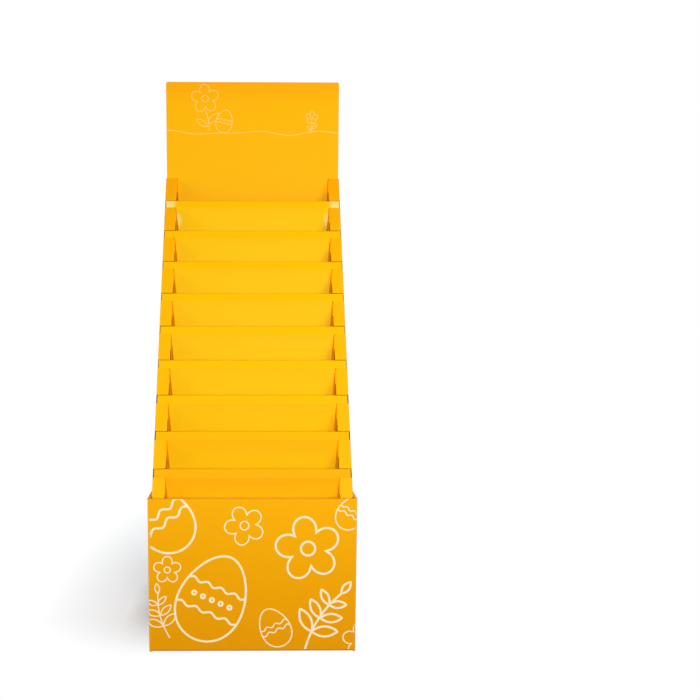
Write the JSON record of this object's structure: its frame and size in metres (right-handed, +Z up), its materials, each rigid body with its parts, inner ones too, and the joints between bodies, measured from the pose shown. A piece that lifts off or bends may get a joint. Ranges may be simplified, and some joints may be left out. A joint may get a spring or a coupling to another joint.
{
  "type": "cardboard display stand",
  "caption": "Free-standing corrugated display stand: a notched body with hollow front columns, hemmed pocket trays stepped down its slope, a tall header card and a box base.",
  "frame": {"origin": "on the floor, under the middle of the base", "axes": "+Z up, the pockets' fronts face -Y, +X to the right seen from the front"},
  "size_m": [0.481, 0.406, 1.4],
  "materials": {
    "base_board": "printed, satin",
    "body_board": "printed, satin",
    "header_board": "printed, satin",
    "tray_board": "printed, satin"
  },
  "bodies": {
    "root": {"base_tray": "base_board", "body_wrap": "body_board", "header_card": "header_board", "pocket_tray_01": "tray_board", "pocket_tray_02": "tray_board", "pocket_tray_03": "tray_board", "pocket_tray_04": "tray_board", "pocket_tray_05": "tray_board", "pocket_tray_06": "tray_board", "pocket_tray_07": "tray_board", "pocket_tray_08": "tray_board", "pocket_tray_09": "tray_board", "pocket_tray_10": "tray_board"}
  },
  "joints": []
}
